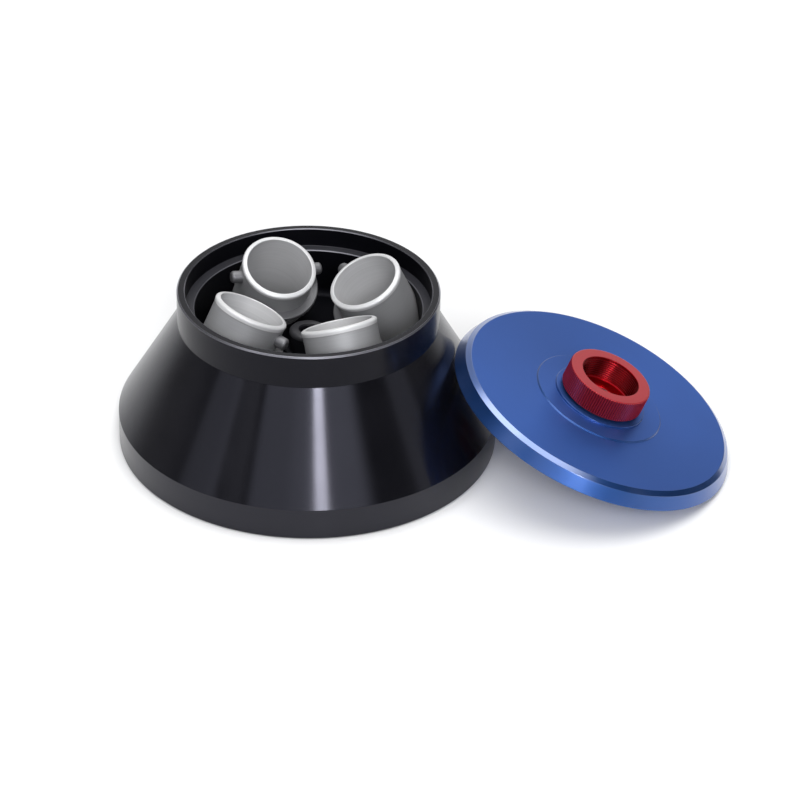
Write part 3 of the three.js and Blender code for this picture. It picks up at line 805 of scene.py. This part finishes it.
def make_fasteners(finishes):
    for index, place in enumerate(screw_places, start=1):
        screw = turned(f"socket_screw_{index}", [
            (0, SCREW_HEAD_BOTTOM),
            (SCREW_HEAD_RADIUS, SCREW_HEAD_BOTTOM, 0.4),
            (SCREW_HEAD_RADIUS, SCREW_HEAD_TOP, 0.2),
            (SCREW_RADIUS, SCREW_HEAD_TOP, 0.2),
            (SCREW_RADIUS, SCREW_TIP, 0.5),
            (0, SCREW_TIP),
        ], place, SMALL_SIDES)
        socket_top = SCREW_HEAD_BOTTOM + SCREW_SOCKET_DEPTH
        joined(screw, rod("socket", SCREW_SOCKET, 0, socket_top, place, HEX_SIDES), "DIFFERENCE")
        finished(screw, "rotor", [f"hub_screw_{index}"], [finishes["steel"]])
    for index, place in enumerate(pin_places, start=1):
        pin = rod(f"driving_pin_{index}", PIN_RADIUS, PIN_BOTTOM, PIN_TOP, place, SMALL_SIDES, 0.5)
        finished(pin, "rotor", [f"drive_pin_{index}"], [finishes["steel"]])
    for index, place in enumerate(magnet_places, start=1):
        magnet_top = GAP + MAGNET_THICKNESS
        magnet = rod(f"disc_magnet_{index}", MAGNET_RADIUS, GAP, magnet_top, place, SMALL_SIDES, 0.3)
        finished(magnet, "rotor", [f"id_magnet_{index}"], [finishes["nickel"]])


def make_hold_down(finishes):
    retainer_top = HUB_WEB - GAP
    groove = SHANK_RADIUS - GROOVE_DEPTH
    post = turned("post", [
        (0, SHANK_TIP),
        (SHANK_RADIUS, SHANK_TIP, 1),
        (SHANK_RADIUS, retainer_top - RETAINER_THICKNESS - GAP),
        (groove, retainer_top - RETAINER_THICKNESS - GAP),
        (groove, HUB_WEB),
        (SHANK_RADIUS, HUB_WEB),
        (SHANK_RADIUS, POST_BOTTOM, 0.3),
        (POST_RADIUS, POST_BOTTOM, 0.4),
        (POST_RADIUS, POST_TOP, POST_EDGE, 1),
        (POST_SOCKET + POST_SOCKET_CHAMFER, POST_TOP, 0.2),
        (POST_SOCKET, POST_TOP - POST_SOCKET_CHAMFER, 0.2),
        (POST_SOCKET, POST_TOP - POST_SOCKET_DEPTH),
        (0, POST_TOP - POST_SOCKET_DEPTH),
    ], rotor_place, FITTING_SIDES)
    # The post's rounded top edge and top face take the lighter steel, a painted highlight
    finished(post, "hold_down", ["hold_down_screw"],
             [finishes["dark_steel"], finishes["steel_painted_highlight"]])
    washer = turned("plain_washer", [
        (SHANK_RADIUS + GAP, WASHER_BOTTOM),
        (WASHER_RADIUS, WASHER_BOTTOM, 0.3),
        (WASHER_RADIUS, WASHER_TOP, 0.5),
        (SHANK_RADIUS + GAP, WASHER_TOP),
    ], rotor_place, FITTING_SIDES)
    finished(washer, "rotor", ["hold_down_washer"], [finishes["dark_steel"]])
    ring = turned("snap_ring", [
        (groove + GAP, retainer_top - RETAINER_THICKNESS),
        (RETAINER_RADIUS, retainer_top - RETAINER_THICKNESS, 0.2),
        (RETAINER_RADIUS, retainer_top, 0.2),
        (groove + GAP, retainer_top),
    ], rotor_place, FITTING_SIDES)
    finished(ring, "hold_down", ["hold_down_ring"], [finishes["steel"]])


# The sleeves

def make_sleeve(index, place, finishes):
    shine_share = 1 - LIP_SHINE / LIP_HEIGHT
    shine_radius = SLEEVE_RADIUS + shine_share * (LIP_RADIUS - SLEEVE_RADIUS)
    cup = turned(f"cup_{index}", [
        (0, -SLEEVE_LENGTH),
        (SLEEVE_RADIUS, -SLEEVE_LENGTH, SLEEVE_CORNER),
        (SLEEVE_RADIUS, -LIP_SLOPE - LIP_HEIGHT, 0.8),
        (shine_radius, -LIP_SLOPE - LIP_SHINE, 0, 2),
        (LIP_RADIUS, -LIP_SLOPE, 1.8, 2),
        (SLEEVE_BORE, 0, 0.45, 1),
        (SLEEVE_BORE, -SLEEVE_LENGTH + SLEEVE_FLOOR, 2, 1),
        (0, -SLEEVE_LENGTH + SLEEVE_FLOOR),
    ], place, SLEEVE_SIDES)
    spin = place @ turned_about(SHOULDER_TURNS[index - 1], "Z")
    shoulder_root = SLEEVE_RADIUS - SHOULDER_OVERLAP
    shoulder_bottom = -SHOULDER_DEPTH - SHOULDER_THICKNESS
    shoulder = turned("shoulder", [
        (shoulder_root, shoulder_bottom, 0, 3),
        (SHOULDER_RADIUS, shoulder_bottom, 0.8, 3),
        (SHOULDER_RADIUS, -SHOULDER_DEPTH, 0.8, 3),
        (shoulder_root, -SHOULDER_DEPTH, 0, 3),
    ], spin, SLEEVE_SIDES)
    trim_half = SHOULDER_RADIUS + OVERRUN
    trim_place = spin @ moved(SHOULDER_TRIM + trim_half, 0, -SHOULDER_DEPTH) @ turned_about(45, "Z")
    trim_corner = trim_half * math.sqrt(2)
    trim = rod("trim", trim_corner, -trim_half, trim_half, trim_place, SQUARE_SIDES)
    joined(shoulder, trim, "DIFFERENCE")
    joined(cup, shoulder, "UNION")
    middle = (SLEEVE_RADIUS + SLEEVE_BORE) / 2
    lug_level = place @ moved(0, 0, -LUG_DEPTHS[index - 1])
    for angle in LUG_ANGLES[index - 1]:
        lug = turned("lug", [
            (0, middle, 0, 3),
            (LUG_RADIUS, middle, 0, 3),
            (LUG_RADIUS, LUG_REACH, LUG_DOME, 3),
            (0, LUG_REACH, 0, 3),
        ], lug_level @ turned_about(angle, "Z") @ turned_about(90, "Y"), SMALL_SIDES)
        joined(cup, lug, "UNION")
    # The lugs and shoulders take the darker aluminium, which is partly painted shade
    finished(cup, f"lifting_sleeve_{index}", [f"sleeve_{index}"],
             [finishes["satin"], finishes["bore"], finishes["bright"], finishes["lug"]])


def make_cushion(index, place, finishes):
    bottom = -SLEEVE_LENGTH + SLEEVE_FLOOR + GAP
    radius = SLEEVE_BORE - GAP
    sag = CUSHION_EDGE - CUSHION_CENTRE
    dish = (radius * radius + sag * sag) / (2 * sag)
    chamfer = CUSHION_CHAMFER
    points = [(0, bottom, 0), (radius - chamfer, bottom, 0), (radius, bottom + chamfer, 0)]
    for step in range(CUSHION_STEPS + 1):
        reach = radius * (1 - step / CUSHION_STEPS)
        rise = dish - math.sqrt(dish * dish - reach * reach)
        points.append((reach, bottom + CUSHION_CENTRE + rise, 0))
    cushion = lathe(f"tube_rest_{index}", points, place, FITTING_SIDES)
    finished(cushion, f"lifting_sleeve_{index}", [f"sleeve_cushion_{index}"],
             [finishes["rubber"]])


# The lid

def make_lid(finishes):
    neck_hole = KNOB_NECK + GAP
    groove = SEAL_CENTRE_RADIUS - SEAL_RADIUS - GAP
    groove_half = SEAL_RADIUS + GAP
    wall_top = LID_RADIUS - LID_WALL_LEAN
    lid = turned("lid_shell", [
        (neck_hole, LID_CEILING, 0.3),
        (LID_HOLLOW, LID_CEILING, LID_HOLLOW_CORNER),
        (LID_HOLLOW, -SPIGOT_DEPTH, 0.3),
        (SPIGOT_RADIUS, -SPIGOT_DEPTH, 0.6),
        (SPIGOT_RADIUS, SEAL_CENTRE_HEIGHT - groove_half),
        (groove, SEAL_CENTRE_HEIGHT - groove_half),
        (groove, SEAL_CENTRE_HEIGHT + groove_half),
        (SPIGOT_RADIUS, SEAL_CENTRE_HEIGHT + groove_half),
        (SPIGOT_RADIUS, 0, 0.3),
        (LID_RADIUS, 0, LID_EDGE, 1),
        (wall_top, LID_WALL_HEIGHT, 0.4, 2),
        (wall_top - LID_BEVEL, LID_THICKNESS, 0.4),
        (BOSS_RADIUS + BOSS_HEIGHT, LID_THICKNESS, 0.15, 1),
        (BOSS_RADIUS, LID_THICKNESS + BOSS_HEIGHT, 0.25),
        (PAD_RADIUS, LID_THICKNESS + BOSS_HEIGHT, 0.2, 1),
        (PAD_RADIUS, PAD_TOP, 0.4),
        (neck_hole, PAD_TOP, 0.3),
    ], lid_place, BODY_SIDES)
    finished(lid, "lid", ["lid_plate"],
             [finishes["blue"], finishes["blue_edge"], finishes["blue_bevel"]])
    points = []
    for step in range(SEAL_STEPS):
        angle = step * 2 * math.pi / SEAL_STEPS
        points.append((SEAL_CENTRE_RADIUS + SEAL_RADIUS * math.cos(angle),
                       SEAL_CENTRE_HEIGHT + SEAL_RADIUS * math.sin(angle), 0))
    seal = lathe("seal_ring", points, lid_place, BODY_SIDES)
    finished(seal, "lid", ["lid_seal"], [finishes["rubber"]])


def knob_points():
    """The knob's outline, with knurled and threaded rows marked by their sides."""
    outline = rounded([
        (STUD_RADIUS + GAP, KNOB_END),
        (KNOB_NECK, KNOB_END),
        (KNOB_NECK, KNOB_RING_BOTTOM - GAP),
        (KNOB_GROOVE, KNOB_RING_BOTTOM - GAP),
        (KNOB_GROOVE, LID_CEILING),
        (KNOB_NECK, LID_CEILING),
        (KNOB_NECK, KNOB_FOOT, 0.2),
        (KNOB_RADIUS, KNOB_FOOT, 0.6),
        (KNOB_RADIUS, KNOB_TOP, 0.9),
        (KNOB_BORE, KNOB_TOP, 0.4, 1),
        (KNOB_BORE, THREAD_END, 0, 0),
        (KNOB_LOWER_BORE, THREAD_END, 0.4, 2),
        (KNOB_LOWER_BORE, KNOB_FLOOR, 1, 2),
        (STUD_RADIUS + GAP, KNOB_FLOOR),
    ])
    points = []
    for (radius, height, finish), following in zip(outline, outline[1:] + outline[:1]):
        if radius > KNOB_RADIUS - KNURL_REACH:
            points.append((radius, height, finish, KNURL_COUNT * KNURL_STEPS))
            continue
        points.append((radius, height, finish, KNOB_SIDES))
        if abs(following[0] - KNOB_BORE) < NEAR and abs(following[1] - THREAD_END) < NEAR:
            rows = round((height - THREAD_END) / THREAD_PITCH * THREAD_ROWS_PER_TURN)
            for row in range(1, rows):
                level = height + (THREAD_END - height) * row / rows
                points.append((radius, level, finish, KNOB_SIDES))
    return points


def make_knob(finishes):
    points = knob_points()

    def waves(row, angle, height):
        radius = points[row][0]
        turn = angle / (2 * math.pi)
        if radius > KNOB_RADIUS - KNURL_FADE:
            room = max(0, min(height - KNOB_FOOT, KNOB_TOP - height))
            fade = min(1, room / KNURL_FADE)
            phase = (turn * KNURL_COUNT) % 1
            return -KNURL_DEPTH * fade * abs(2 * phase - 1)
        if abs(radius - KNOB_BORE) < NEAR and THREAD_END < height < THREAD_START:
            room = min(height - THREAD_END, THREAD_START - height)
            fade = min(1, room / THREAD_PITCH)
            phase = (height / THREAD_PITCH - turn) % 1
            return THREAD_GROOVE * fade * abs(2 * phase - 1)
        return 0

    knob = lathe("knurled_knob", points, lid_place, KNOB_SIDES, waves)
    # The threaded bore takes the darker copy of the red (painted shade), the lower bore the brighter
    # one (painted light)
    finished(knob, "knob", ["lid_knob"],
             [finishes["red"], finishes["red_thread_shaded"], finishes["red_bore_lit"]])


def make_knob_fittings(finishes):
    washer = turned("sliding_washer", [
        (KNOB_NECK + GAP, PAD_TOP + GAP),
        (KNOB_WASHER, PAD_TOP + GAP, 0.2),
        (KNOB_WASHER, KNOB_FOOT - GAP, 0.2),
        (KNOB_NECK + GAP, KNOB_FOOT - GAP),
    ], lid_place, FITTING_SIDES)
    finished(washer, "lid", ["knob_washer"], [finishes["plastic"]])
    ring = turned("keeper_ring", [
        (KNOB_GROOVE + GAP, KNOB_RING_BOTTOM),
        (KNOB_RING_RADIUS, KNOB_RING_BOTTOM, 0.2),
        (KNOB_RING_RADIUS, KNOB_RING_TOP, 0.2),
        (KNOB_GROOVE + GAP, KNOB_RING_TOP),
    ], lid_place, FITTING_SIDES)
    finished(ring, "knob", ["knob_retaining_ring"], [finishes["steel"]])
    stud = turned("closing_stud", [
        (0, -STUD_REACH),
        (STUD_RADIUS, -STUD_REACH, 1.2),
        (STUD_RADIUS, KNOB_FLOOR + GAP, 0.3),
        (STUD_HEAD, KNOB_FLOOR + GAP, 0.3),
        (STUD_HEAD, STUD_HEAD_TOP, 0.6),
        (0, STUD_HEAD_TOP),
    ], lid_place, FITTING_SIDES)
    socket_bottom = STUD_HEAD_TOP - STUD_SOCKET_DEPTH
    socket = rod("socket", STUD_SOCKET, socket_bottom, STUD_HEAD_TOP + OVERRUN, lid_place, HEX_SIDES)
    joined(stud, socket, "DIFFERENCE")
    finished(stud, "knob", ["lid_stud"], [finishes["steel"]])


# The studio: a pale floor, and a white room with a darker side behind the camera

def make_floor():
    mesh = bpy.data.meshes.new("floor")
    corners = [(-FLOOR_HALF, -FLOOR_HALF, 0), (FLOOR_HALF, -FLOOR_HALF, 0),
               (FLOOR_HALF, FLOOR_HALF, 0), (-FLOOR_HALF, FLOOR_HALF, 0)]
    mesh.from_pydata(corners, [], [(0, 1, 2, 3)])
    floor = bpy.data.objects.new("floor", mesh)
    bpy.context.scene.collection.objects.link(floor)
    finish = Finish("floor")
    colour = (FLOOR_TONE, FLOOR_TONE, FLOOR_TONE, 1)
    finish.set(Base_Color=colour, Roughness=0.9, Specular_IOR_Level=0.0)
    mesh.materials.append(finish.material)


def make_world():
    world = bpy.data.worlds.new("studio")
    bpy.context.scene.world = world
    world.use_nodes = True
    tree = world.node_tree
    tree.nodes.clear()

    def add(kind, **settings):
        node = tree.nodes.new(kind)
        for key, value in settings.items():
            setattr(node, key, value)
        return node

    def math_node(kind, *values):
        node = add("ShaderNodeMath", operation=kind)
        for socket, value in zip(node.inputs, values):
            if isinstance(value, (int, float)):
                socket.default_value = value
            else:
                tree.links.new(value, socket)
        return node.outputs[0]

    def ramp(value, low, high, start, end):
        node = add("ShaderNodeMapRange", interpolation_type="SMOOTHSTEP")
        tree.links.new(value, node.inputs["Value"])
        ends = {"From Min": low, "From Max": high, "To Min": start, "To Max": end}
        for key, number in ends.items():
            node.inputs[key].default_value = number
        return node.outputs[0]

    coord = add("ShaderNodeTexCoord")
    split = add("ShaderNodeSeparateXYZ")
    tree.links.new(coord.outputs["Generated"], split.inputs[0])
    x, y, z = split.outputs
    azimuth = math_node("ARCTAN2", x, math_node("MULTIPLY", y, -1))
    degrees = math_node("MULTIPLY", azimuth, 180 / math.pi)
    away = math_node("ABSOLUTE", degrees)
    base = ramp(away, BACK_START, BACK_END, FRONT_LEVEL, BACK_LEVEL)
    base = math_node("ADD", base, ramp(z, TOP_START, TOP_END, 0, TOP_LEVEL))
    total = add("ShaderNodeCombineXYZ")
    for socket in total.inputs:
        tree.links.new(base, socket)
    total = total.outputs[0]
    for centre, half, edge, low, top, strength, colour in PANELS:
        offset = math_node("ABSOLUTE", math_node("SUBTRACT", degrees, centre))
        across = ramp(offset, half, half + edge, 1, 0)
        bottom_edge = ramp(z, low - PANEL_EDGE, low + PANEL_EDGE, 0, 1)
        top_edge = ramp(z, top - PANEL_EDGE, top + PANEL_EDGE, 1, 0)
        mask = math_node("MULTIPLY", across, math_node("MULTIPLY", bottom_edge, top_edge))
        scaled = add("ShaderNodeVectorMath", operation="SCALE")
        scaled.inputs[0].default_value = tuple(strength * c for c in colour)
        tree.links.new(mask, scaled.inputs["Scale"])
        joined_light = add("ShaderNodeVectorMath", operation="ADD")
        tree.links.new(total, joined_light.inputs[0])
        tree.links.new(scaled.outputs[0], joined_light.inputs[1])
        total = joined_light.outputs[0]
    room = add("ShaderNodeBackground")
    tree.links.new(total, room.inputs["Color"])
    white = add("ShaderNodeBackground")
    white.inputs["Color"].default_value = (1, 1, 1, 1)
    path = add("ShaderNodeLightPath")
    mix = add("ShaderNodeMixShader")
    tree.links.new(path.outputs["Is Camera Ray"], mix.inputs[0])
    tree.links.new(room.outputs[0], mix.inputs[1])
    tree.links.new(white.outputs[0], mix.inputs[2])
    out = add("ShaderNodeOutputWorld")
    tree.links.new(mix.outputs[0], out.inputs[0])


def make_lamp(name, place, size, power):
    """A square soft lamp aimed at the object, which no gloss shows."""
    data = bpy.data.lights.new(name, "AREA")
    data.size = size
    data.energy = power
    lamp = bpy.data.objects.new(name, data)
    lamp.visible_glossy = False
    aim = (LAMP_AIM - Vector(place)).to_track_quat("-Z", "Y").to_matrix().to_4x4()
    lamp.matrix_world = Matrix.Translation(place) @ aim
    bpy.context.scene.collection.objects.link(lamp)


make_camera()
finishes = make_finishes()
make_rotor(finishes)
make_hub(finishes)
make_fasteners(finishes)
make_hold_down(finishes)
for number, sleeve_place in enumerate(sleeve_places, start=1):
    make_sleeve(number, sleeve_place, finishes)
    make_cushion(number, sleeve_place, finishes)
make_lid(finishes)
make_knob(finishes)
make_knob_fittings(finishes)
make_floor()
make_world()
for lamp in LAMPS:
    make_lamp(*lamp)

bpy.context.scene.view_settings.view_transform = "Standard"
